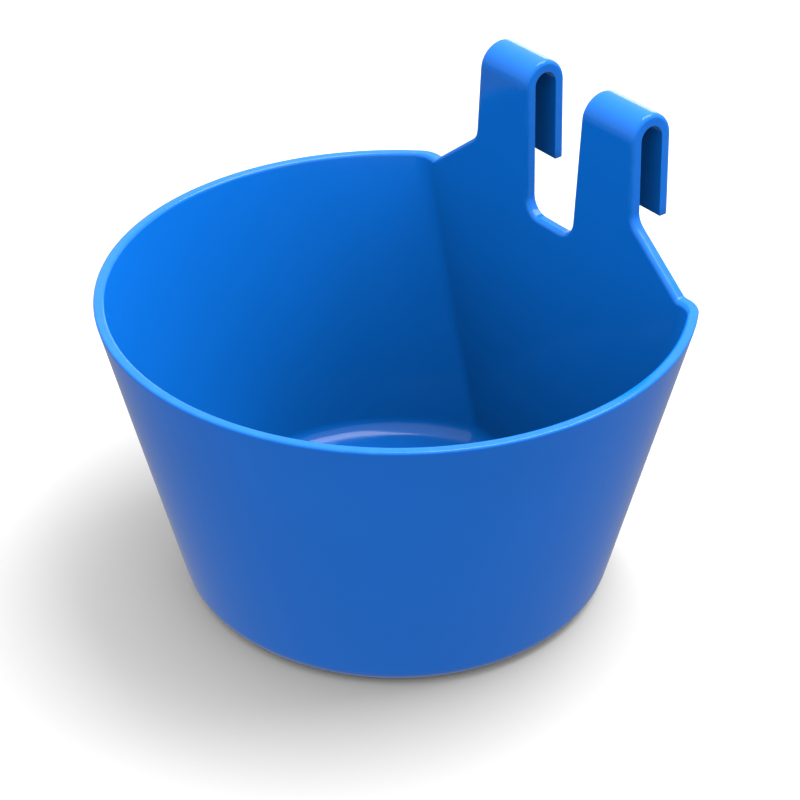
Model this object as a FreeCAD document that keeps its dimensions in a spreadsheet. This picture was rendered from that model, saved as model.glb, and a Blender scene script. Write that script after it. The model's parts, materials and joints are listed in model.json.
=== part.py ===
"""Hook-on cage cup: a one-piece injection-moulded cup with a flat back and two hooks.

The cup is a truncated cone, narrower at the base, cut by a nearly upright flat back wall. The back
wall carries on above the rim as a plate with sloping shoulders and two tapered legs, and each leg
folds over backwards into a hook that drops onto a cage bar or the edge of a board.

Frame: millimetres, +Z up, the origin on the base plane at the cone's axis, +Y towards the flat back.
"""
import FreeCAD, Part
import os
import Sketcher

NODE = "hook_on_cup"

# The back face of the plate, which is also the front wall of the hooks' slots, and its front face.
BACK = "Sizes.back_distance"
FRONT = "(Sizes.back_distance - Sizes.back_wall / cos(Sizes.back_lean))"

# The driving dimensions, in millimetres and degrees.
SIZES = {
    "top_radius": 75.0,          # outside of the round wall at the rim plane
    "base_radius": 55.8,         # outside of the round wall, run down to the base plane
    "cup_height": 82.7,          # base plane to rim plane
    "wall": 2.7,                 # round wall and floor
    "back_wall": 3.1,            # flat back, plate and hook strip
    "back_distance": 52.4,       # cone axis to the back face, at the rim and above it
    "back_lean": 1.0,            # degrees that the back wall leans in towards the base
    "form_rounding": 6.7,        # outside radius along the base and the two upright corners
    "cavity_rounding": 5.5,      # inside radius along the same edges
    "shoulder_foot": 48.2,       # half width of the plate where its shoulders meet the rim
    "shoulder_slope": 38.0,      # degrees that the shoulders rise above the level
    "foot_rounding": 1.5,        # inside radius where a shoulder meets the rim
    "leg_outside": 31.2,         # axis to the outside edge of a leg, at the rim plane
    "leg_outside_lean": 2.9,     # degrees that this edge leans in going up
    "leg_inside": 8.8,           # axis to the inside edge of a leg, at the rim plane
    "leg_inside_lean": 2.55,     # degrees that this edge leans out going up
    "leg_rounding": 5.0,         # inside radius at the shoulders and in the gap's lower corners
    "slot_width": 6.8,           # clear width inside a hook
    "arch_height": 117.0,        # base plane to the centre line of the half-round hook top
    "lip_end": 95.4,             # base plane to the square end of the hook's lip
}


def fill_sheet(document):
    """Put the driving dimensions in a spreadsheet, one aliased cell each."""
    sheet = document.addObject("Spreadsheet::Sheet", "Sizes")
    for row, (name, value) in enumerate(SIZES.items(), start=1):
        sheet.set(f"A{row}", name)
        sheet.set(f"B{row}", str(value))
        sheet.setAlias(f"B{row}", name)
    document.recompute()
    return sheet


def origin_plane(body, role):
    """The body's own origin plane with this role."""
    return next(item for item in body.Origin.OriginFeatures if item.Role == role)


def new_sketch(body, name, role):
    """An empty sketch of the body, flat on one of its origin planes."""
    sketch = body.newObject("Sketcher::SketchObject", name)
    sketch.AttachmentSupport = [(origin_plane(body, role), "")]
    sketch.MapMode = "FlatFace"
    return sketch


def bind(sketch, kind, items, label, expression, guess):
    """Add one named dimension to a sketch and bind it to the sheet."""
    number = sketch.addConstraint(Sketcher.Constraint(kind, *items, guess))
    sketch.renameConstraint(number, label)
    sketch.setExpression(f"Constraints.{label}", expression)


def value_of(document, expression):
    """What a sheet expression comes to, for a sketch's starting geometry."""
    value = document.Sizes.evalExpression(expression.replace("Sizes.", ""))
    return float(getattr(value, "Value", value))


def draw_outline(sketch, corners, arcs={}):
    """Draw a closed outline whose corners are pairs of sheet expressions.

    The side that leaves a corner numbered in arcs is the upper half circle about the centre given
    there, also as a pair of expressions; every other side is straight.
    """
    document = sketch.Document
    base = sketch.GeometryCount
    places = [
        FreeCAD.Vector(value_of(document, across), value_of(document, up), 0) for across, up in corners
    ]
    starts = []
    stops = []
    for number, start in enumerate(places):
        stop = places[(number + 1) % len(places)]
        if number in arcs:
            centre = FreeCAD.Vector(*[value_of(document, text) for text in arcs[number]], 0)
            top = centre + FreeCAD.Vector(0, (start - centre).Length, 0)
            sketch.addGeometry(Part.Arc(start, top, stop))
            # A sketch stores every arc anticlockwise, so one drawn the other way has its ends swapped.
            swapped = start.x < stop.x
        else:
            sketch.addGeometry(Part.LineSegment(start, stop))
            swapped = False
        starts.append(2 if swapped else 1)
        stops.append(1 if swapped else 2)
    for number, (across, up) in enumerate(corners):
        this = base + number
        after = (number + 1) % len(places)
        joined = Sketcher.Constraint("Coincident", this, stops[number], base + after, starts[after])
        sketch.addConstraint(joined)
        bind(sketch, "DistanceX", (-1, 1, this, starts[number]), f"across_{this}", across, places[number].x)
        bind(sketch, "DistanceY", (-1, 1, this, starts[number]), f"up_{this}", up, places[number].y)
        if number in arcs:
            centre_up = arcs[number][1]
            bind(sketch, "DistanceY", (-1, 1, this, 3), f"arc_{this}", centre_up, value_of(document, centre_up))


def checked(document, feature, grows):
    """Recompute, and make sure the newest feature really added or removed material."""
    before = feature.BaseFeature.Shape.Volume if feature.BaseFeature else 0.0
    document.recompute()
    after = feature.Shape.Volume
    if (after > before) != grows or abs(after - before) < 0.1:
        raise RuntimeError(f"{feature.Name} went from {before:.0f} to {after:.0f} mm3")
    return feature


def edge_names(shape, wanted):
    """The names of the edges whose middle point passes the test."""
    names = []
    for number, edge in enumerate(shape.Edges, start=1):
        middle = edge.valueAt((edge.FirstParameter + edge.LastParameter) / 2)
        if wanted(edge, middle):
            names.append(f"Edge{number}")
    if not names:
        raise RuntimeError("no edge passes the test")
    return names


def round_edges(body, name, radius, wanted):
    """Fillet the edges of the body's tip that pass the test."""
    base = body.Tip
    fillet = body.newObject("PartDesign::Fillet", name)
    fillet.Base = (base, edge_names(base.Shape, wanted))
    fillet.setExpression("Radius", radius)
    body.Document.recompute()
    return fillet


def make_form(body, inset, back_inset, rounding):
    """A truncated cone with its flat leaning back and rounded base and corners, as a solid.

    Its wall and base lie inside the cup's outer faces by the inset, and its back by the back inset,
    measured square to them.
    """
    document = body.Document
    flare = "((Sizes.top_radius - Sizes.base_radius) / Sizes.cup_height)"
    step_in = f"{inset} * sqrt(1 + {flare}^2)"
    profile = new_sketch(body, body.Name + "Profile", "XZ_Plane")
    draw_outline(profile, [
        ("0", inset),
        (f"Sizes.base_radius + {inset} * {flare} - {step_in}", inset),
        (f"Sizes.top_radius - {step_in}", "Sizes.cup_height"),
        ("0", "Sizes.cup_height"),
    ])
    cone = body.newObject("PartDesign::Revolution", body.Name + "Cone")
    cone.Profile = profile
    cone.ReferenceAxis = (profile, ["V_Axis"])
    cone.Angle = 360
    checked(document, cone, grows=True)

    # Everything behind the leaning back face comes off, through the whole width.
    back = f"(Sizes.back_distance - {back_inset} / cos(Sizes.back_lean))"
    behind = new_sketch(body, body.Name + "Behind", "YZ_Plane")
    draw_outline(behind, [
        (f"{back} - Sizes.cup_height * tan(Sizes.back_lean)", "0"),
        ("Sizes.top_radius + Sizes.wall", "0"),
        ("Sizes.top_radius + Sizes.wall", "Sizes.cup_height"),
        (back, "Sizes.cup_height"),
    ])
    flat = body.newObject("PartDesign::Pocket", body.Name + "FlatBack")
    flat.Profile = behind
    flat.Type = "ThroughAll"
    flat.Midplane = True
    checked(document, flat, grows=False)

    top = document.Sizes.cup_height
    round_edges(body, body.Name + "Rounding", rounding, lambda edge, middle: middle.z < top - 1.0
                and not seam_of_cone(edge, middle))


def seam_of_cone(edge, middle):
    """Whether this is the cone's seam, which isn't a corner of the object."""
    return abs(middle.y) < 0.01 and isinstance(edge.Curve, Part.Line) and edge.Length > 50.0


def hollow_out(body, cavity):
    """Take the cavity out of the cup, which leaves its walls and floor, open at the rim plane."""
    hollow = body.newObject("PartDesign::Boolean", "Hollow")
    hollow.Type = "Cut"
    hollow.setObjects([cavity])
    checked(body.Document, hollow, grows=False)


def leg_edges(bottom, top):
    """The corners of the right leg between two heights above the rim, inside edge first, going up."""
    return [
        (f"Sizes.leg_inside + {bottom} * tan(Sizes.leg_inside_lean)", f"Sizes.cup_height + {bottom}"),
        (f"Sizes.leg_inside + {top} * tan(Sizes.leg_inside_lean)", f"Sizes.cup_height + {top}"),
        (f"Sizes.leg_outside - {top} * tan(Sizes.leg_outside_lean)", f"Sizes.cup_height + {top}"),
        (f"Sizes.leg_outside - {bottom} * tan(Sizes.leg_outside_lean)", f"Sizes.cup_height + {bottom}"),
    ]


def mirrored(corners):
    """The same outline on the other side of the cup, still drawn in one direction."""
    return [(f"-({across})", up) for across, up in reversed(corners)]


def pad_outline(body, name, corners, front, length):
    """Pad an outline and its mirror image backwards from the distance given as front."""
    outline = new_sketch(body, name + "Outline", "XZ_Plane")
    draw_outline(outline, corners)
    draw_outline(outline, mirrored(corners))
    outline.setExpression("AttachmentOffset.Base.z", f"-{front}")
    pad = body.newObject("PartDesign::Pad", name)
    pad.Profile = outline
    pad.Reversed = True
    pad.setExpression("Length", length)
    checked(body.Document, pad, grows=True)


def cut_through(body, name, corners, arcs):
    """Cut an outline seen from the side through the whole width."""
    outline = new_sketch(body, name + "Side", "YZ_Plane")
    draw_outline(outline, corners, arcs)
    pocket = body.newObject("PartDesign::Pocket", name)
    pocket.Profile = outline
    pocket.Type = "ThroughAll"
    pocket.Midplane = True
    checked(body.Document, pocket, grows=False)


def make_plate(body):
    """The plate above the rim, with its sloping shoulders and the roots of its two legs."""
    # Where the shoulder line and the leg's outside edge cross, above the rim.
    climb = ("((Sizes.shoulder_foot - Sizes.leg_outside) * tan(Sizes.shoulder_slope)"
             " / (1 - tan(Sizes.leg_outside_lean) * tan(Sizes.shoulder_slope)))")
    bottom_inside, top_inside, top_outside, _ = leg_edges("0", "(Sizes.arch_height - Sizes.cup_height)")
    shoulder_top = leg_edges(climb, climb)[-1]
    foot = ("Sizes.shoulder_foot", "Sizes.cup_height")
    pad_outline(body, "Plate", [bottom_inside, top_inside, top_outside, shoulder_top, foot],
                FRONT, f"{BACK} - {FRONT}")


def make_hooks(body):
    """The legs fold backwards over a half-round arch and come down behind as two straight lips."""
    lip_inside = f"({BACK} + Sizes.slot_width)"
    lip_outside = f"({lip_inside} + Sizes.back_wall)"
    middle = f"({BACK} + Sizes.slot_width / 2)"
    above = "(Sizes.arch_height + Sizes.slot_width / 2 + 2 * Sizes.back_wall)"
    behind = f"({lip_outside} + Sizes.back_wall)"
    ahead = f"({FRONT} - Sizes.back_wall)"

    pad_outline(body, "HookBlock", leg_edges("(Sizes.lip_end - Sizes.cup_height)",
                f"({above} - Sizes.cup_height)"), FRONT, f"{lip_outside} - {FRONT}")
    cut_through(body, "Slot", [
        (BACK, "Sizes.lip_end"),
        (lip_inside, "Sizes.lip_end"),
        (lip_inside, "Sizes.arch_height"),
        (BACK, "Sizes.arch_height"),
    ], {2: (middle, "Sizes.arch_height")})
    cut_through(body, "Crown", [
        (lip_outside, "Sizes.arch_height"),
        (FRONT, "Sizes.arch_height"),
        (ahead, "Sizes.arch_height"),
        (ahead, above),
        (behind, above),
        (behind, "Sizes.arch_height"),
    ], {0: (middle, "Sizes.arch_height")})


def round_plate_corners(body):
    """The inside corners of the plate's outline: shoulder feet, leg roots and the gap."""
    sheet = body.Document.Sizes
    rim = sheet.cup_height

    def runs_back(edge):
        """Whether an edge is a straight one that runs from front to back of the plate."""
        first, last = edge.Vertexes[0].Point, edge.Vertexes[-1].Point
        return abs(first.x - last.x) < 0.01 and abs(first.z - last.z) < 0.01 and edge.Length > 1.0

    round_edges(body, "LegRoots", "Sizes.leg_rounding", lambda edge, middle: runs_back(edge)
                and rim + 2.0 < middle.z < sheet.lip_end + 3.0 and abs(middle.x) > sheet.leg_inside + 3.0
                and middle.y < sheet.back_distance)
    round_edges(body, "GapCorners", "Sizes.leg_rounding", lambda edge, middle: runs_back(edge)
                and abs(middle.z - rim) < 0.01 and abs(abs(middle.x) - sheet.leg_inside) < 0.01)
    round_edges(body, "ShoulderFeet", "Sizes.foot_rounding", lambda edge, middle: runs_back(edge)
                and abs(middle.z - rim) < 0.01 and abs(abs(middle.x) - sheet.shoulder_foot) < 0.01)


def build(document):
    """Model the cup as one body."""
    cavity = document.addObject("PartDesign::Body", "Cavity")
    make_form(cavity, "Sizes.wall", "Sizes.back_wall", "Sizes.cavity_rounding")
    body = document.addObject("PartDesign::Body", "Cup")
    body.Label = NODE
    make_form(body, "0", "0", "Sizes.form_rounding")
    hollow_out(body, cavity)
    make_plate(body)
    make_hooks(body)
    round_plate_corners(body)
    return body


def main():
    document = FreeCAD.newDocument("HookOnCup")
    fill_sheet(document)
    body = build(document)
    document.recompute()
    failed = [item.Name for item in document.Objects if {"Invalid", "Error"} & set(item.State)]
    if failed:
        raise RuntimeError(f"these objects failed: {failed}")
    shape = body.Shape
    if shape.isNull() or not shape.isValid() or len(shape.Solids) != 1:
        raise RuntimeError("the cup isn't one valid solid")
    os.makedirs("parts", exist_ok=True)
    shape.exportStep(f"parts/{body.Label}.step")
    print(f"{body.Label}: {shape.Volume / 1000:.2f} cm3, {len(shape.Faces)} faces, {shape.BoundBox}")
    print(f"brimful: {document.Cavity.Shape.Volume / 1000:.1f} cm3")


main()
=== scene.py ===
"""Hook-on cage cup: the visual model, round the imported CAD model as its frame.

The cup is one injection moulding. Its inner face is worked out here as a sheet of points: a tapered
bowl with a flat back, and the plate above the rim with two long straight legs. A Geometry Nodes tree
then gives the sheet its wall and folds the legs over backwards into the hooks.
"""
import json
import math

import bmesh
import bpy
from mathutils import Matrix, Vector


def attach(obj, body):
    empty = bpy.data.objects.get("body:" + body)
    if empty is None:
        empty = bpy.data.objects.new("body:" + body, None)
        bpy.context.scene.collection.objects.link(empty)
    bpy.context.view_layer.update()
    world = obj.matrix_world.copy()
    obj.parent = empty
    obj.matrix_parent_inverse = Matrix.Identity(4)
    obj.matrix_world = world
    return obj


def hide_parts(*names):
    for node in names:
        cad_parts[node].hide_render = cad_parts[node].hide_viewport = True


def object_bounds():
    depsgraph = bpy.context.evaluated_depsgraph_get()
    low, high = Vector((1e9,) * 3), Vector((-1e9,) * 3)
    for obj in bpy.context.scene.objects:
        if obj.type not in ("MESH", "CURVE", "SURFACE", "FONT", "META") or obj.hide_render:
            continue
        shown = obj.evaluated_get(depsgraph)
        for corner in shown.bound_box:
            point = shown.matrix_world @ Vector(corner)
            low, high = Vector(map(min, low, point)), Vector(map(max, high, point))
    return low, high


bl_info = {
    "name": "Hook-on Cage Cup",
    "version": (1, 0, 0),
    "blender": (4, 5, 0),
    "location": "3D Viewport > Sidebar > Cage Cup",
    "description": "Builds a moulded hook-on cage cup, its plastic and a plain studio",
    "category": "Object",
}

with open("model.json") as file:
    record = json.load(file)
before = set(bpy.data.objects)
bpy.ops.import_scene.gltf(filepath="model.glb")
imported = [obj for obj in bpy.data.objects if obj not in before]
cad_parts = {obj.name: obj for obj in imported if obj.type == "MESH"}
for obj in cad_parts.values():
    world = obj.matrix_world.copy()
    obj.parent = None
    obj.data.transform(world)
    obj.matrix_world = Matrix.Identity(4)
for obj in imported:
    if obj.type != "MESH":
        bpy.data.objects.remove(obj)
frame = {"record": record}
CAD_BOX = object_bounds()
NODE = "hook_on_cup"
SEAT = next(mount for mount in frame["record"]["mounts"] if mount["name"] == "hook_seat")
SEAT_DISTANCE = SEAT["pos_m"][1]
SEAT_HEIGHT = SEAT["pos_m"][2]
SEAT_RADIUS = SEAT["dims"]["r_mm"] / 1000
BACK_WALL = round(CAD_BOX[1].z - SEAT_HEIGHT - SEAT_RADIUS, 5)

# How finely the cup is divided.
ROUND_COLUMNS = 168        # round the tapered wall
CORNER_COLUMNS = 10        # round each upright corner of the bowl
FLAT_COLUMNS = 2           # from each upright corner to the plate
HALF_PLATE_COLUMNS = 36    # across each half of the plate
GAP_COLUMNS = 8            # across the gap between the legs
WALL_ROWS = 18             # down the wall
BASE_ROWS = 10             # round the edge of the base
FLOOR_RINGS = (0.8, 0.6, 0.4, 0.2)
FOOT_ROWS = 6              # up each stretch of the plate's outline, outside edge
SHOULDER_ROWS = 14
ROOT_ROWS = 10
GAP_CORNER_ROWS = 14
LEG_ROWS = 12
ARCH_ROWS = 32             # over the hook
LIP_ROWS = 8
ROUNDING_ROWS = 6          # round each rounded edge of the wall
MERGE_DISTANCE = 1e-6      # closer points are one

# The plastic's patterns: sizes in millimetres, depths in metres.
PER_METRE = 1000.0
FLOW_MARK_SIZE = 40
RUBBED_PATCH_SIZE = 3
SCUFF_LENGTH = 6
SCUFF_WIDTH = 0.4
WAVER_SIZE = 22
WAVER_DEPTH = 0.00003
GRAIN_SIZE = 0.9
GRAIN_DEPTH = 0.000004
MOST_WEAR = 0.12           # how far a rubbed edge turns to the worn colour
SCUFF_ROUGHNESS = 0.06     # how much rougher a scuff is than the polish
WORN_ROUGHNESS = 0.3       # and a fully worn edge

# The studio: each softbox has a name, a place, a point that it faces, a side and a power in watts.
SOFTBOXES = (
    ("overhead_softbox", (0.1, 0.42, 1.1), (0.0, 0.0, 0.05), 0.8, 13.5),
    ("horizon_softbox", (-1.0, 1.1, 0.12), (0.0, 0.0, 0.1), 0.5, 1.5),
)
ROOM_BELOW = 0.34          # brightness of the room below the horizon, at it and overhead
ROOM_HORIZON = 0.85
ROOM_ZENITH = 1.45
HORIZON_BAND = 0.05        # half the height of the band in which the room changes at the horizon
FLOOR_DROP = 0.00005       # how far the floor lies under the cup


def length(name, default, description):
    """A length property in metres."""
    return bpy.props.FloatProperty(
        name=name, default=default, description=description, unit="LENGTH", min=0.0, precision=5)


def angle(name, degrees, description):
    """An angle property."""
    return bpy.props.FloatProperty(
        name=name, default=math.radians(degrees), description=description, subtype="ANGLE")


def colour(name, code, description):
    """A colour property from an sRGB hex code."""
    return bpy.props.FloatVectorProperty(
        name=name, default=linear(code), description=description, subtype="COLOR", size=3, min=0.0, max=1.0)


def linear(code):
    """Turn an sRGB hex code into linear red, green and blue."""
    parts = [int(code[start:start + 2], 16) / 255 for start in (1, 3, 5)]
    return [part / 12.92 if part <= 0.04045 else ((part + 0.055) / 1.055) ** 2.4 for part in parts]


class CupSizes(bpy.types.PropertyGroup):
    """The sizes of the moulding."""
    top_radius: length("Top Radius", CAD_BOX[1].x, "Outside of the round wall at the rim")
    base_radius: length("Base Radius", 0.0558, "Outside of the round wall, run down to the base plane")
    rim_height: length("Rim Height", 0.0827, "Base plane to rim")
    wall: length("Wall", 0.0027, "Thickness of the round wall and the floor")
    back_wall: length("Back Wall", BACK_WALL, "Thickness of the flat back, the plate and the hooks")
    back_distance: length("Back Distance", SEAT_DISTANCE - SEAT_RADIUS, "Axis to the back face at the rim")
    back_lean: angle("Back Lean", 1.0, "How far the back wall leans in towards the base")
    lean_blend: length("Lean Blend", 0.02, "How far below the rim the lean is fully there")
    form_rounding: length("Form Rounding", 0.0067, "Outside radius along the base and the upright corners")
    cavity_rounding: length("Cavity Rounding", 0.0055, "Inside radius along the same edges")
    shoulder_foot: length("Shoulder Foot", 0.0482, "Half width of the plate at the rim")
    shoulder_slope: angle("Shoulder Slope", 38.0, "How steeply the shoulders rise")
    foot_rounding: length("Foot Rounding", 0.0015, "Inside radius where a shoulder meets the rim")
    leg_outside: length("Leg Outside", 0.0312, "Middle to the outside edge of a leg, at the rim's height")
    leg_outside_lean: angle("Leg Outside Lean", 2.9, "How far that edge leans in")
    leg_inside: length("Leg Inside", 0.0088, "Middle to the inside edge of a leg, at the rim's height")
    leg_inside_lean: angle("Leg Inside Lean", 2.55, "How far that edge leans out")
    leg_rounding: length("Leg Rounding", 0.005, "Inside radius at the shoulders and in the gap's corners")
    slot_width: length("Slot Width", 2 * SEAT_RADIUS, "Clear width inside a hook")
    arch_height: length("Arch Height", SEAT_HEIGHT, "Base plane to the middle of the hook's half-round top")
    lip_end: length("Lip End", 0.0954, "Base plane to the square end of the hook's lip")
    rim_edge: length("Rim Edge", 0.0008, "Rounding of both edges of the rim")
    front_edge: length("Front Edge", 0.00125, "Rounding of the front edges of the plate and hooks")
    back_edge: length("Back Edge", 0.0001, "Rounding of their back edges and of the edges in the slot")
    end_edge: length("End Edge", 0.00015, "Rounding of the lip's square end")


class PlasticLooks(bpy.types.PropertyGroup):
    """The look of the moulded plastic."""
    body: colour("Body", "#1079EB", "The plastic's own colour")
    flow: colour("Flow", "#0E76E5", "The plastic where the melt ran slower and the pigment is denser")
    worn: colour("Worn", "#3D97F7", "The plastic along rubbed edges")
    roughness: bpy.props.FloatProperty(
        name="Roughness", default=0.1, min=0.0, max=1.0, description="Roughness of the polished faces")


class StudioSettings(bpy.types.PropertyGroup):
    """The camera, lights and floor."""
    camera_azimuth: angle("Camera Azimuth", 52.82, "Camera's turn round the cup, from straight in front")
    camera_elevation: angle("Camera Elevation", 32.98, "Camera's height above the horizon")
    camera_roll: angle("Camera Roll", 0.055, "Camera's turn about its own line of sight")
    camera_distance: length("Camera Distance", 0.5421, "Camera to the point it looks at")
    target_height: length("Target Height", 0.04803, "Height of that point, on the bowl's axis")
    target_side: length("Target Side", 0.00093, "How far that point lies to the camera's right of the axis")
    lens: bpy.props.FloatProperty(
        name="Lens", default=94.78, min=1.0, description="Focal length in millimetres on a 36 mm frame")
    floor_size: length("Floor Size", 6.0, "Side of the floor")
    floor_colour: colour("Floor Colour", "#DADADA", "The floor's own colour")


# ---------------------------------------------------------------------------------------------------
# The bowl: a ball rolls over a smaller tapered core, and its far side sweeps out the rounded form.
# ---------------------------------------------------------------------------------------------------

class Bowl:
    """One face of the bowl, inside the cup's outer faces by an inset, and by another at the back."""

    def __init__(self, sizes, inset, back_inset, ball, foot):
        self.sizes = sizes
        self.inset = inset
        self.back_inset = back_inset
        self.ball = ball
        self.foot = foot
        self.lowest = inset + ball
        self.flare = (sizes.top_radius - sizes.base_radius) / sizes.rim_height
        self.taper = math.atan(self.flare)

    def core_radius(self, height):
        """Radius of the core's cone at a height."""
        smaller = (self.ball + self.inset) / math.cos(self.taper)
        return self.sizes.base_radius + self.flare * height - smaller

    def back_fall(self, height):
        """How far the back has come in at a height, and its slope there: the lean starts gently."""
        below = max(self.sizes.rim_height - height, 0.0)
        blend = self.sizes.lean_blend
        slope = math.tan(self.sizes.back_lean)
        if below < blend:
            return slope * below ** 2 / (2 * blend), slope * below / blend
        return slope * (below - blend / 2), slope

    def core_back(self, height):
        """Distance of the core's back at a height."""
        return self.sizes.back_distance - self.back_fall(height)[0] - self.ball - self.back_inset

    def core_corner(self, height):
        """Half width of the core's back at a height."""
        return math.sqrt(self.core_radius(height) ** 2 - self.core_back(height) ** 2)

    def cone_normal(self, turn):
        """The tapered wall's outward direction at a turn round the axis."""
        flat = Vector((math.cos(turn), math.sin(turn), 0.0)) * math.cos(self.taper)
        return flat - Vector((0.0, 0.0, math.sin(self.taper)))

    def back_normal(self, height):
        """The back's outward direction at a height."""
        return Vector((0.0, 1.0, -self.back_fall(height)[1])).normalized()

    def ball_at(self, column, height):
        """The rolling ball's centre on a column at a height, and the direction of its far side."""
        kind, place = column
        corner = self.core_corner(height)
        back = self.core_back(height)
        narrowing = corner / self.core_corner(self.sizes.rim_height)
        start = math.atan2(back, corner)
        if kind == "back":
            return Vector((place * narrowing, back, height)), self.back_normal(height)
        if kind == "round":
            turn = start - place * (math.pi + 2 * start)
            radius = self.core_radius(height)
            centre = Vector((radius * math.cos(turn), radius * math.sin(turn), height))
            return centre, self.cone_normal(turn)
        side = 1 if kind.startswith("right") else -1
        if kind.endswith("flat"):
            foot = self.foot * narrowing
            across = side * (foot + (corner - foot) * place)
            return Vector((across, back, height)), self.back_normal(height)
        wall_normal = self.cone_normal(start)
        wall_normal.x *= side
        return Vector((side * corner, back, height)), self.back_normal(height).slerp(wall_normal, place)

    def ball_height(self, column, level):
        """The height of the ball's centre that brings its far side to a level."""
        height = level
        for _ in range(4):
            _, normal = self.ball_at(column, height)
            height = level - self.ball * normal.z
        return height

    def wall_point(self, column, level, share):
        """The face's point a share of the way up from the base's rounding to the level."""
        top = self.ball_height(column, level)
        centre, normal = self.ball_at(column, self.lowest + (top - self.lowest) * share)
        return centre + normal * self.ball

    def base_point(self, column, share):
        """The face's point a share of the way round the edge of the base."""
        centre, normal = self.ball_at(column, self.lowest)
        return centre + normal.slerp(Vector((0.0, 0.0, -1.0)), share) * self.ball


# ---------------------------------------------------------------------------------------------------
# The plate's outline, drawn with the legs still straight: across, and height up the flat strip.
# ---------------------------------------------------------------------------------------------------

class Outline:
    """Both edges of the right half of the plate, as points with their outward directions."""

    def __init__(self, sizes):
        self.sizes = sizes
        self.fold_radius = sizes.slot_width / 2 + sizes.back_wall
        self.fold_length = math.pi * self.fold_radius
        self.strip_end = 2 * sizes.arch_height - sizes.lip_end + self.fold_length

    def true_height(self, up):
        """The height of a point of the strip once the hook is folded, and how fast it changes."""
        past = up - self.sizes.arch_height
        if past <= 0:
            return up, 1.0
        if past >= self.fold_length:
            return self.sizes.arch_height - (past - self.fold_length), -1.0
        turn = past / self.fold_radius
        return self.sizes.arch_height + self.fold_radius * math.sin(turn), math.cos(turn)

    def leg_edge(self, up, side):
        """A point of a leg's outside (1) or inside (-1) edge, and the direction out of the leg."""
        sizes = self.sizes
        height, rate = self.true_height(up)
        above = height - sizes.rim_height
        if side > 0:
            across = sizes.leg_outside - above * math.tan(sizes.leg_outside_lean)
            lean = rate * math.tan(sizes.leg_outside_lean)
        else:
            across = sizes.leg_inside + above * math.tan(sizes.leg_inside_lean)
            lean = rate * math.tan(sizes.leg_inside_lean)
        return Vector((across, up)), Vector((side, lean)).normalized()

    def leg_run(self, side, start, stop, rows):
        """Points of a leg's edge after start, up to and with stop."""
        return [self.leg_edge(start + (stop - start) * row / rows, side) for row in range(1, rows + 1)]

    def beyond_fold(self, side):
        """The edge over the arch and down the lip to its square end."""
        top = self.sizes.arch_height
        points = self.leg_run(side, top, top + self.fold_length, ARCH_ROWS)
        return points + self.leg_run(side, top + self.fold_length, self.strip_end, LIP_ROWS)

    def hollow_arc(self, centre, radius, start, stop, rows):
        """Points round an inside corner, whose centre lies outside the plastic."""
        points = []
        for row in range(rows + 1):
            turn = start + (stop - start) * row / rows
            direction = Vector((math.cos(turn), math.sin(turn)))
            points.append((centre + direction * radius, -direction))
        return points

    def outside(self):
        """The outside edge from the rim up: foot, shoulder, leg root, leg, arch and lip."""
        sizes = self.sizes
        slope = sizes.shoulder_slope
        lean = sizes.leg_outside_lean
        up_slope = Vector((-math.cos(slope), math.sin(slope)))
        off_slope = Vector((math.sin(slope), math.cos(slope)))
        foot = Vector((sizes.shoulder_foot, sizes.rim_height))
        climb = ((sizes.shoulder_foot - sizes.leg_outside) * math.tan(slope)
                 / (1 - math.tan(lean) * math.tan(slope)))
        root = foot + up_slope * (climb / math.sin(slope))
        foot_run = sizes.foot_rounding * math.tan(slope / 2)
        root_run = sizes.leg_rounding * math.tan((math.pi / 2 - slope - lean) / 2)
        foot_centre = foot + Vector((foot_run, sizes.foot_rounding))
        root_centre = root - up_slope * root_run + off_slope * sizes.leg_rounding

        down = -math.pi / 2
        points = self.hollow_arc(foot_centre, sizes.foot_rounding, down, down - slope, FOOT_ROWS)
        start = points[-1][0]
        arc = self.hollow_arc(root_centre, sizes.leg_rounding, down - slope, lean - math.pi, ROOT_ROWS)
        stop = arc[0][0]
        for row in range(1, SHOULDER_ROWS):
            points.append((start.lerp(stop, row / SHOULDER_ROWS), off_slope))
        points += arc
        points += self.leg_run(1, arc[-1][0].y, sizes.arch_height, LEG_ROWS)
        return points + self.beyond_fold(1)

    def inside(self):
        """The inside edge from the gap's bottom up: corner, leg, arch and lip."""
        sizes = self.sizes
        lean = sizes.leg_inside_lean
        radius = sizes.leg_rounding
        across = sizes.leg_inside + radius * math.tan(lean) - radius / math.cos(lean)
        centre = Vector((across, sizes.rim_height + radius))
        points = self.hollow_arc(centre, radius, -math.pi / 2, -lean, GAP_CORNER_ROWS)
        rows = FOOT_ROWS + SHOULDER_ROWS + ROOT_ROWS + LEG_ROWS - GAP_CORNER_ROWS
        points += self.leg_run(-1, points[-1][0].y, sizes.arch_height, rows)
        return points + self.beyond_fold(-1)


# ---------------------------------------------------------------------------------------------------
# The sheet: every point of the inner face, in one numbering that both faces of the wall share.
# ---------------------------------------------------------------------------------------------------

class Station:
    """One step round the edge of the wall, over the rounding of its inner (0) or outer (1) face."""

    def __init__(self, face, share):
        self.face = face
        self.whole = share == face
        self.turn = math.pi / 2 * share

    def inset(self, radii):
        """How far the edge is drawn in here, for the radii of its two roundings."""
        reach = math.cos(self.turn) if self.face else math.sin(self.turn)
        return radii[self.face] * (1 - reach)

    def through(self, radii, thickness):
        """The share of the thickness that lies in front of this step."""
        if self.face:
            return 1 - radii[1] * (1 - math.sin(self.turn)) / thickness
        return radii[0] * (1 - math.cos(self.turn)) / thickness


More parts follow.
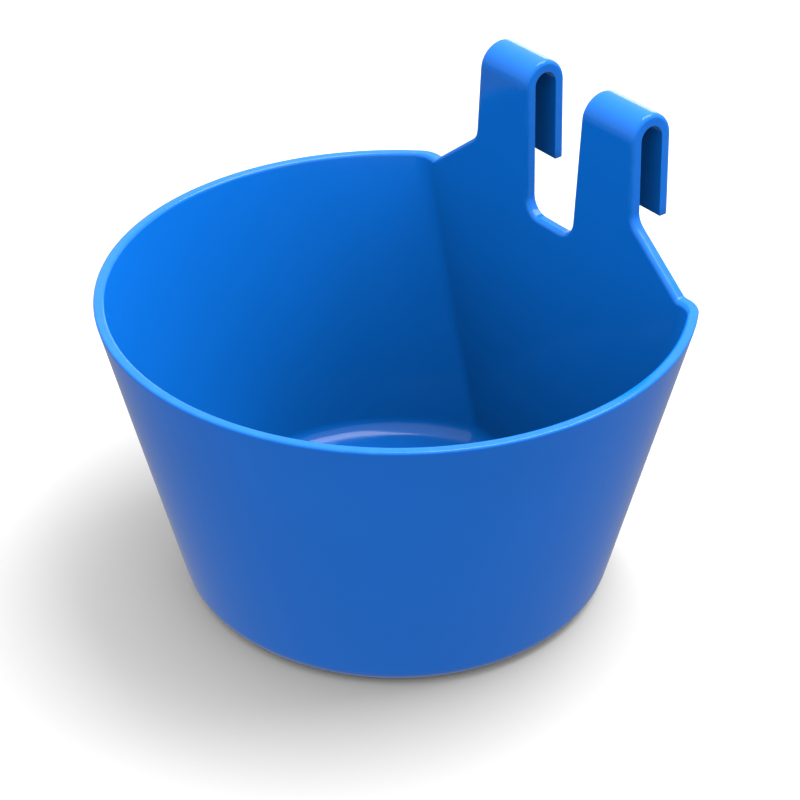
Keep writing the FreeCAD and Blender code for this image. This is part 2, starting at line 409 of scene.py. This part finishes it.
class Sheet:
    """The cup's inner face as points and faces, in which a smaller outline keeps the same numbering."""

    def __init__(self, sizes):
        self.sizes = sizes
        outline = Outline(sizes)
        self.edges = list(zip(outline.inside(), outline.outside()))
        self.strip_end = outline.strip_end
        foot = self.edges[0][1][0].x
        self.bowls = (
            Bowl(sizes, sizes.wall, sizes.back_wall, sizes.cavity_rounding, foot),
            Bowl(sizes, 0.0, 0.0, sizes.form_rounding, foot),
        )
        self.plate_radii = (sizes.front_edge, sizes.back_edge)
        self.end_radii = (sizes.end_edge, sizes.end_edge)
        self.columns = self.make_columns()
        self.faces = []
        self.border = []
        self.number_faces()

    def make_columns(self):
        """The columns round the bowl, clockwise from above, from the left end of the flat back."""
        inside = self.edges[0][0][0].x
        outside = self.edges[0][1][0].x
        half = [
            outside + (inside - outside) * step / HALF_PLATE_COLUMNS for step in range(HALF_PLATE_COLUMNS + 1)
        ]
        middle = [inside * (2 * step / GAP_COLUMNS - 1) for step in range(1, GAP_COLUMNS)]
        columns = [("left flat", step / FLAT_COLUMNS) for step in range(FLAT_COLUMNS, 0, -1)]
        columns += [("back", place) for place in [-place for place in half] + middle + half[::-1]]
        columns += [("right flat", step / FLAT_COLUMNS) for step in range(1, FLAT_COLUMNS + 1)]
        columns += [("right corner", step / CORNER_COLUMNS) for step in range(1, CORNER_COLUMNS)]
        columns += [("round", step / ROUND_COLUMNS) for step in range(ROUND_COLUMNS + 1)]
        columns += [("left corner", step / CORNER_COLUMNS) for step in range(CORNER_COLUMNS - 1, 0, -1)]
        return columns

    def rim_radii(self, column):
        """The roundings of the rim's two edges, which turn into the plate's over the corners."""
        kind, place = column
        share = {"round": 1.0, "right corner": place, "left corner": place}.get(kind, 0.0)
        return [radius + (self.sizes.rim_edge - radius) * share for radius in self.plate_radii]

    def plate_column(self, side, step):
        """The bowl column under a column of the plate, counted outwards from the gap."""
        left_outer = FLAT_COLUMNS
        right_outer = FLAT_COLUMNS + 2 * HALF_PLATE_COLUMNS + GAP_COLUMNS
        if side > 0:
            return right_outer - HALF_PLATE_COLUMNS + step
        return left_outer + HALF_PLATE_COLUMNS - step

    def points(self, station):
        """Every point with its step to the outer face and its share of the wall, at one station."""
        radii = [self.rim_radii(column) for column in self.columns]
        levels = [self.sizes.rim_height - station.inset(pair) for pair in radii]
        rows = []
        for row in range(WALL_ROWS + 1):
            share = 1 - row / WALL_ROWS
            rows.append([
                [bowl.wall_point(column, level, share) for bowl in self.bowls]
                for column, level in zip(self.columns, levels)
            ])
        for row in range(1, BASE_ROWS + 1):
            share = row / BASE_ROWS
            rows.append([[bowl.base_point(column, share) for bowl in self.bowls] for column in self.columns])
        middle = [Vector((0.0, 0.0, bowl.inset)) for bowl in self.bowls]
        floor_edge = rows[-1]
        for share in FLOOR_RINGS:
            rows.append([
                [centre.lerp(place, share) for centre, place in zip(middle, pair)] for pair in floor_edge
            ])
        listed = [
            self.walled(station, *pair, edge_radii) for row in rows for pair, edge_radii in zip(row, radii)
        ]
        listed.append(self.walled(station, *middle, self.plate_radii))
        for side in (1, -1):
            listed += self.plate_points(side, station)
        return listed

    def walled(self, station, inner, outer, radii):
        """A point of the inner face, its step to the outer face, and the station's share of the wall."""
        across = outer - inner
        return inner, across / self.sizes.back_wall, station.through(radii, across.length)

    def plate_points(self, side, station):
        """The points of one half of the plate above its bottom row."""
        back = self.sizes.back_distance
        front = back - self.sizes.back_wall
        inset = station.inset(self.plate_radii)
        last = len(self.edges) - 1
        listed = []
        for row, ((inner, inner_way), (outer, outer_way)) in enumerate(self.edges[1:], start=1):
            start = inner - inner_way * inset
            stop = outer - outer_way * inset
            if row == last:
                start.y = stop.y = self.strip_end - station.inset(self.end_radii)
            for column in range(HALF_PLATE_COLUMNS + 1):
                flat = start.lerp(stop, column / HALF_PLATE_COLUMNS)
                at_end = row == last and 0 < column < HALF_PLATE_COLUMNS
                listed.append(self.walled(
                    station, Vector((side * flat.x, front, flat.y)), Vector((side * flat.x, back, flat.y)),
                    self.end_radii if at_end else self.plate_radii))
        return listed

    def plate_number(self, side, row, column):
        """The number of a point of the plate, whose bottom row is the bowl's top row."""
        if row == 0:
            return self.plate_column(side, column)
        bowl_points = len(self.columns) * (1 + WALL_ROWS + BASE_ROWS + len(FLOOR_RINGS)) + 1
        half = (len(self.edges) - 1) * (HALF_PLATE_COLUMNS + 1)
        start = bowl_points + (half if side < 0 else 0)
        return start + (row - 1) * (HALF_PLATE_COLUMNS + 1) + column

    def number_faces(self):
        """The faces of the sheet, seen from inside the bowl, and its border as one loop."""
        count = len(self.columns)
        rows = WALL_ROWS + BASE_ROWS + len(FLOOR_RINGS)
        for row in range(rows):
            for column in range(count):
                after = (column + 1) % count
                here, below = row * count, (row + 1) * count
                self.faces.append((below + column, below + after, here + after, here + column))
        middle = (rows + 1) * count
        for column in range(count):
            self.faces.append((middle, rows * count + (column + 1) % count, rows * count + column))
        last = len(self.edges) - 1
        for side in (1, -1):
            for row in range(last):
                for column in range(HALF_PLATE_COLUMNS):
                    corners = [(row, column), (row, column + 1), (row + 1, column + 1), (row + 1, column)]
                    face = tuple(self.plate_number(side, *corner) for corner in corners)
                    self.faces.append(face if side > 0 else face[::-1])

        self.border = list(range(self.plate_column(1, HALF_PLATE_COLUMNS), count))
        self.border += list(range(self.plate_column(-1, HALF_PLATE_COLUMNS) + 1))
        self.border += self.round_half(-1)
        self.border += list(range(self.plate_column(-1, 0) + 1, self.plate_column(1, 0) + 1))
        self.border += self.round_half(1)[::-1][1:]

    def round_half(self, side):
        """The border from the shoulder's foot round the hook's end to the bottom of the gap."""
        last = len(self.edges) - 1
        numbers = [self.plate_number(side, row, HALF_PLATE_COLUMNS) for row in range(1, last + 1)]
        numbers += [self.plate_number(side, last, column) for column in range(HALF_PLATE_COLUMNS - 1, 0, -1)]
        numbers += [self.plate_number(side, row, 0) for row in range(last, -1, -1)]
        return numbers


def make_blank(sizes):
    """The unfolded cup with no wall yet: both faces and the edge between them, one on the other."""
    sheet = Sheet(sizes)
    stations = [Station(face, row / ROUNDING_ROWS) for face in (0, 1) for row in range(ROUNDING_ROWS + 1)]
    listed = []
    faces = []
    loops = []
    for station in stations:
        points = sheet.points(station)
        start = len(listed)
        if station.whole:
            listed += [(*point, 0.0) for point in points]
            loops.append([start + index for index in sheet.border])
            order = -1 if station.face else 1
            faces += [tuple(start + index for index in face)[::order] for face in sheet.faces]
        else:
            listed += [(*points[index], 1.0) for index in sheet.border]
            loops.append([start + index for index in range(len(sheet.border))])
    for inner, outer in zip(loops, loops[1:]):
        for index in range(len(inner)):
            after = (index + 1) % len(inner)
            faces.append((outer[after], outer[index], inner[index], inner[after]))

    mesh = bpy.data.meshes.new("cup_blank")
    mesh.from_pydata([point for point, _, _, _ in listed], [], faces)
    add_attribute(mesh, "wall_step", "FLOAT_VECTOR", "vector", [part for item in listed for part in item[1]])
    add_attribute(mesh, "through", "FLOAT", "value", [item[2] for item in listed])
    add_attribute(mesh, "edge", "FLOAT", "value", [item[3] for item in listed])
    return mesh


def add_attribute(mesh, name, kind, field, values):
    """Give every point of a mesh a named value."""
    attribute = mesh.attributes.new(name, kind, "POINT")
    attribute.data.foreach_set(field, values)


# ---------------------------------------------------------------------------------------------------
# The tree that gives the sheet its wall and folds the hooks.
# ---------------------------------------------------------------------------------------------------

def add_node(tree, kind, inputs=(), **settings):
    """Add a node, set its properties, and set or link its inputs by name or number."""
    node = tree.nodes.new(kind)
    for name, value in settings.items():
        setattr(node, name, value)
    for key, value in dict(inputs).items():
        if isinstance(value, bpy.types.NodeSocket):
            tree.links.new(value, node.inputs[key])
        else:
            node.inputs[key].default_value = value
    return node


def wall_and_hooks_tree():
    """Give the sheet its wall, then fold what stands above the arch over the slot and down."""
    tree = bpy.data.node_groups.new("Wall And Hooks", "GeometryNodeTree")
    sockets = [
        ("Geometry", "NodeSocketGeometry", "INPUT"),
        ("Wall", "NodeSocketFloat", "INPUT"),
        ("Arch Height", "NodeSocketFloat", "INPUT"),
        ("Slot Middle", "NodeSocketFloat", "INPUT"),
        ("Slot Width", "NodeSocketFloat", "INPUT"),
        ("Material", "NodeSocketMaterial", "INPUT"),
        ("Geometry", "NodeSocketGeometry", "OUTPUT"),
    ]
    for name, kind, direction in sockets:
        tree.interface.new_socket(name, in_out=direction, socket_type=kind)
    given = add_node(tree, "NodeGroupInput").outputs

    def math_node(operation, *values):
        return add_node(tree, "ShaderNodeMath", dict(enumerate(values)), operation=operation).outputs[0]

    # The wall: each point moves along its own step by its share of the thickness.
    step = add_node(tree, "GeometryNodeInputNamedAttribute", {"Name": "wall_step"}, data_type="FLOAT_VECTOR")
    through = add_node(tree, "GeometryNodeInputNamedAttribute", {"Name": "through"}, data_type="FLOAT")
    depth = math_node("MULTIPLY", through.outputs["Attribute"], given["Wall"])
    offset = add_node(tree, "ShaderNodeVectorMath", {0: step.outputs["Attribute"], "Scale": depth},
                      operation="SCALE")
    walled = add_node(tree, "GeometryNodeSetPosition",
                      {"Geometry": given["Geometry"], "Offset": offset.outputs[0]})

    # The fold: height above the arch becomes a turn about the slot's middle, then a straight fall.
    position = add_node(tree, "GeometryNodeInputPosition").outputs[0]
    place = add_node(tree, "ShaderNodeSeparateXYZ", {0: position})
    half_slot = math_node("MULTIPLY", given["Slot Width"], 0.5)
    radius = math_node("ADD", half_slot, given["Wall"])
    past = math_node("MAXIMUM", math_node("SUBTRACT", place.outputs["Z"], given["Arch Height"]), 0.0)
    turn = math_node("MINIMUM", math_node("DIVIDE", past, radius), math.pi)
    fall = math_node("MAXIMUM", math_node("SUBTRACT", past, math_node("MULTIPLY", radius, math.pi)), 0.0)
    reach = math_node("SUBTRACT", given["Slot Middle"], place.outputs["Y"])
    level = math_node("MULTIPLY", reach, math_node("COSINE", turn))
    back = math_node("SUBTRACT", given["Slot Middle"], level)
    straight = math_node("MINIMUM", place.outputs["Z"], given["Arch Height"])
    lifted = math_node("ADD", straight, math_node("MULTIPLY", reach, math_node("SINE", turn)))
    up = math_node("SUBTRACT", lifted, fall)
    folded = add_node(tree, "ShaderNodeCombineXYZ", {"X": place.outputs["X"], "Y": back, "Z": up})
    hooked = add_node(tree, "GeometryNodeSetPosition",
                      {"Geometry": walled.outputs[0], "Position": folded.outputs[0]})

    joined = add_node(tree, "GeometryNodeMergeByDistance",
                      {"Geometry": hooked.outputs[0], "Distance": MERGE_DISTANCE})
    real = add_node(tree, "GeometryNodeRealizeInstances", {0: joined.outputs[0]})
    painted = add_node(tree, "GeometryNodeSetMaterial",
                       {"Geometry": real.outputs[0], "Material": given["Material"]})
    add_node(tree, "NodeGroupOutput", {"Geometry": painted.outputs[0]})
    return tree


def add_nodes_modifier(piece, tree, values):
    """Put a Geometry Nodes tree on a piece and set its inputs by their identifiers."""
    modifier = piece.modifiers.new(tree.name, "NODES")
    modifier.node_group = tree
    for item in tree.interface.items_tree:
        if item.in_out == "INPUT" and item.name in values:
            modifier[item.identifier] = values[item.name]


def bake_modifiers(piece, name):
    """Turn a piece with its modifiers into a plain mesh object of that name."""
    graph = bpy.context.evaluated_depsgraph_get()
    mesh = bpy.data.meshes.new_from_object(piece.evaluated_get(graph), depsgraph=graph)
    mesh.name = name
    bpy.data.objects.remove(piece)
    baked = bpy.data.objects.new(name, mesh)
    bpy.context.collection.objects.link(baked)
    return baked


# ---------------------------------------------------------------------------------------------------
# Materials
# ---------------------------------------------------------------------------------------------------

def new_material(name):
    """An empty node material with its Principled shader."""
    material = bpy.data.materials.new(name)
    material.use_nodes = True
    tree = material.node_tree
    tree.nodes.clear()
    shader = add_node(tree, "ShaderNodeBsdfPrincipled")
    add_node(tree, "ShaderNodeOutputMaterial", {"Surface": shader.outputs[0]})
    return material, tree, shader


def moulded_polypropylene(looks):
    """Polypropylene, pigmented right through and injection moulded in a polished steel mould.

    The polish gives clear reflections, the shrinking wall makes them waver slightly, the melt's flow
    leaves faint paler and deeper stretches, and handling rubs the edges and leaves fine scuffs.
    """
    material, tree, shader = new_material("moulded_polypropylene")
    place = add_node(tree, "ShaderNodeTexCoord").outputs["Object"]

    # Flow marks.
    flow = add_node(tree, "ShaderNodeTexNoise", {
        "Vector": place, "Scale": PER_METRE / FLOW_MARK_SIZE, "Detail": 2.0})
    flow_share = add_node(tree, "ShaderNodeMapRange",
                          {"Value": flow.outputs["Fac"], "From Min": 0.3, "From Max": 0.7})
    body = add_node(tree, "ShaderNodeMix", {
        0: flow_share.outputs[0], 6: (*looks.body, 1.0), 7: (*looks.flow, 1.0)}, data_type="RGBA")

    # Rubbed edges, broken up into patches.
    edge = add_node(tree, "ShaderNodeAttribute", attribute_name="edge")
    patches = add_node(tree, "ShaderNodeTexNoise", {
        "Vector": place, "Scale": PER_METRE / RUBBED_PATCH_SIZE, "Detail": 3.0})
    rubbed = add_node(tree, "ShaderNodeMapRange", {
        "Value": patches.outputs["Fac"], "From Min": 0.5, "From Max": 0.75, "To Max": MOST_WEAR})
    wear = add_node(tree, "ShaderNodeMath", {0: edge.outputs["Fac"], 1: rubbed.outputs[0]},
                    operation="MULTIPLY")
    paint = add_node(tree, "ShaderNodeMix", {
        0: wear.outputs[0], 6: body.outputs[2], 7: (*looks.worn, 1.0)}, data_type="RGBA")
    tree.links.new(paint.outputs[2], shader.inputs["Base Color"])

    # Fine scuffs, mostly level as a hand or a scoop leaves them.
    stretched = add_node(tree, "ShaderNodeMapping", {
        "Vector": place, "Scale": (
            PER_METRE / SCUFF_LENGTH, PER_METRE / SCUFF_LENGTH, PER_METRE / SCUFF_WIDTH)})
    scuffs = add_node(tree, "ShaderNodeTexNoise", {
        "Vector": stretched.outputs[0], "Scale": 1.0, "Detail": 3.0, "Roughness": 0.6})
    scuffed = add_node(tree, "ShaderNodeMapRange", {
        "Value": scuffs.outputs["Fac"], "From Min": 0.45, "From Max": 0.8,
        "To Min": looks.roughness, "To Max": looks.roughness + SCUFF_ROUGHNESS})
    roughness = add_node(tree, "ShaderNodeMath", {
        0: wear.outputs[0], 1: WORN_ROUGHNESS, 2: scuffed.outputs[0]}, operation="MULTIPLY_ADD")
    tree.links.new(roughness.outputs[0], shader.inputs["Roughness"])

    # The wall's waver, and the grain of the mould's polish.
    waver = add_node(tree, "ShaderNodeTexNoise", {
        "Vector": place, "Scale": PER_METRE / WAVER_SIZE, "Detail": 1.0})
    wavered = add_node(tree, "ShaderNodeBump", {
        "Height": waver.outputs["Fac"], "Strength": 1.0, "Distance": WAVER_DEPTH})
    grain = add_node(tree, "ShaderNodeTexNoise", {
        "Vector": place, "Scale": PER_METRE / GRAIN_SIZE, "Detail": 2.0})
    grained = add_node(tree, "ShaderNodeBump", {
        "Height": grain.outputs["Fac"], "Strength": 1.0, "Distance": GRAIN_DEPTH,
        "Normal": wavered.outputs[0]})
    tree.links.new(grained.outputs[0], shader.inputs["Normal"])
    shader.inputs["IOR"].default_value = 1.49
    shader.inputs["Specular IOR Level"].default_value = 0.3
    return material


def studio_board(looks):
    """Matt white laminate board, which gives a plain pale floor with soft shadows."""
    material, tree, shader = new_material("matt_white_laminate")
    place = add_node(tree, "ShaderNodeTexCoord").outputs["Object"]
    mottle = add_node(tree, "ShaderNodeTexNoise", {"Vector": place, "Scale": 40.0, "Detail": 2.0})
    roughness = add_node(tree, "ShaderNodeMapRange", {
        "Value": mottle.outputs["Fac"], "To Min": 0.75, "To Max": 0.9})
    tree.links.new(roughness.outputs[0], shader.inputs["Roughness"])
    shader.inputs["Base Color"].default_value = (*looks.floor_colour, 1.0)
    shader.inputs["Specular IOR Level"].default_value = 0.2
    return material


# ---------------------------------------------------------------------------------------------------
# Operators
# ---------------------------------------------------------------------------------------------------

class CUP_OT_moulding(bpy.types.Operator):
    """Build the cup: the bowl, its flat back, the plate and both hooks, in one moulding"""
    bl_idname = "cup.moulding"
    bl_label = "Cup Moulding"

    def execute(self, context):
        sizes = context.scene.cup_sizes
        blank = bpy.data.objects.new("cup_blank", make_blank(sizes))
        context.collection.objects.link(blank)
        add_nodes_modifier(blank, wall_and_hooks_tree(), {
            "Wall": sizes.back_wall,
            "Arch Height": sizes.arch_height,
            "Slot Middle": sizes.back_distance + sizes.slot_width / 2,
            "Slot Width": sizes.slot_width,
            "Material": moulded_polypropylene(context.scene.plastic_looks),
        })
        blank.data.shade_smooth()
        weighted = blank.modifiers.new("Weighted Normals", "WEIGHTED_NORMAL")
        weighted.mode = "FACE_AREA"
        cup = bake_modifiers(blank, "moulded_cup")
        self.check_closed(cup.data)
        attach(cup, "root")
        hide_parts(NODE)
        return {"FINISHED"}

    def check_closed(self, mesh):
        """Make sure that the mesh is one closed surface that faces outwards."""
        work = bmesh.new()
        work.from_mesh(mesh)
        faults = sum(not (edge.is_manifold and edge.is_contiguous) for edge in work.edges)
        volume = work.calc_volume(signed=True)
        work.free()
        if faults or volume <= 0:
            raise RuntimeError(f"the cup has {faults} faulty edges and a volume of {volume} m3")
        print(f"cup: {len(mesh.polygons)} faces, {volume * 1e6:.2f} cm3")


class CUP_OT_studio(bpy.types.Operator):
    """Set up the camera, the lights and the pale floor"""
    bl_idname = "cup.studio"
    bl_label = "Studio"

    def execute(self, context):
        settings = context.scene.studio_settings
        self.add_camera(context, settings)
        self.add_floor(context, settings)
        for softbox in SOFTBOXES:
            self.add_light(context, *softbox)
        self.add_world(context)
        # Light that has met a matt surface once goes no further, so the cup keeps its shadows neutral.
        context.scene.cycles.diffuse_bounces = 0
        context.scene.view_settings.view_transform = "Standard"
        return {"FINISHED"}

    def add_world(self, context):
        """A white room, brightest overhead and dim below the horizon."""
        world = bpy.data.worlds.new("white_room")
        context.scene.world = world
        world.use_nodes = True
        tree = world.node_tree
        place = add_node(tree, "ShaderNodeTexCoord").outputs["Generated"]
        height = add_node(tree, "ShaderNodeSeparateXYZ", {0: place}).outputs["Z"]
        lower = add_node(tree, "ShaderNodeMapRange", {
            "Value": height, "From Min": -HORIZON_BAND, "From Max": HORIZON_BAND,
            "To Min": ROOM_BELOW, "To Max": ROOM_HORIZON})
        strength = add_node(tree, "ShaderNodeMapRange", {
            "Value": height, "From Min": HORIZON_BAND, "From Max": 1.0,
            "To Min": lower.outputs[0], "To Max": ROOM_ZENITH})
        background = tree.nodes["Background"]
        background.inputs["Color"].default_value = (1.0, 1.0, 1.0, 1.0)
        tree.links.new(strength.outputs[0], background.inputs["Strength"])

    def add_camera(self, context, settings):
        """A camera that looks past the bowl's axis from the front right, from above."""
        turn, rise = settings.camera_azimuth, settings.camera_elevation
        back = Vector((math.sin(turn) * math.cos(rise), -math.cos(turn) * math.cos(rise), math.sin(rise)))
        right = Vector((math.cos(turn), math.sin(turn), 0.0))
        data = bpy.data.cameras.new("camera")
        data.lens = settings.lens
        data.sensor_width = 36.0
        data.clip_start = 0.01
        camera = bpy.data.objects.new("camera", data)
        context.collection.objects.link(camera)
        target = right * settings.target_side + Vector((0.0, 0.0, settings.target_height))
        camera.location = target + back * settings.camera_distance
        camera.rotation_euler = (-back).to_track_quat("-Z", "Y").to_euler()
        camera.rotation_euler.rotate_axis("Z", settings.camera_roll)
        context.scene.camera = camera

    def add_floor(self, context, settings):
        """One square of board, a hair under the cup."""
        half = settings.floor_size / 2
        mesh = bpy.data.meshes.new("floor")
        square = ((-half, -half), (half, -half), (half, half), (-half, half))
        corners = [(across, along, -FLOOR_DROP) for across, along in square]
        mesh.from_pydata(corners, [], [(0, 1, 2, 3)])
        mesh.materials.append(studio_board(settings))
        floor = bpy.data.objects.new("floor", mesh)
        context.collection.objects.link(floor)
        for ray in ("diffuse", "glossy", "transmission", "shadow"):
            setattr(floor, f"visible_{ray}", False)

    def add_light(self, context, name, place, target, size, power):
        """A square softbox that faces a point."""
        data = bpy.data.lights.new(name, "AREA")
        data.shape = "SQUARE"
        data.size = size
        data.energy = power
        light = bpy.data.objects.new(name, data)
        context.collection.objects.link(light)
        light.location = place
        way = Vector(target) - Vector(place)
        light.rotation_euler = way.to_track_quat("-Z", "Y").to_euler()


class CUP_PT_panel(bpy.types.Panel):
    """Lists the pieces and the studio"""
    bl_label = "Cage Cup"
    bl_idname = "CUP_PT_panel"
    bl_space_type = "VIEW_3D"
    bl_region_type = "UI"
    bl_category = "Cage Cup"

    def draw(self, context):
        for operator in BUILD_ORDER:
            self.layout.operator(operator.bl_idname)
        for group in SETTINGS:
            column = self.layout.column()
            for name in group.__annotations__:
                column.prop(getattr(context.scene, SETTINGS[group]), name)


BUILD_ORDER = (CUP_OT_moulding, CUP_OT_studio)
SETTINGS = {CupSizes: "cup_sizes", PlasticLooks: "plastic_looks", StudioSettings: "studio_settings"}
CLASSES = (*SETTINGS, *BUILD_ORDER, CUP_PT_panel)


def register():
    for item in CLASSES:
        bpy.utils.register_class(item)
    for group, name in SETTINGS.items():
        setattr(bpy.types.Scene, name, bpy.props.PointerProperty(type=group))


def unregister():
    for name in SETTINGS.values():
        delattr(bpy.types.Scene, name)
    for item in reversed(CLASSES):
        bpy.utils.unregister_class(item)


def main():
    register()
    for operator in BUILD_ORDER:
        group, name = operator.bl_idname.split(".")
        getattr(getattr(bpy.ops, group), name)()


if __name__ == "__main__":
    main()
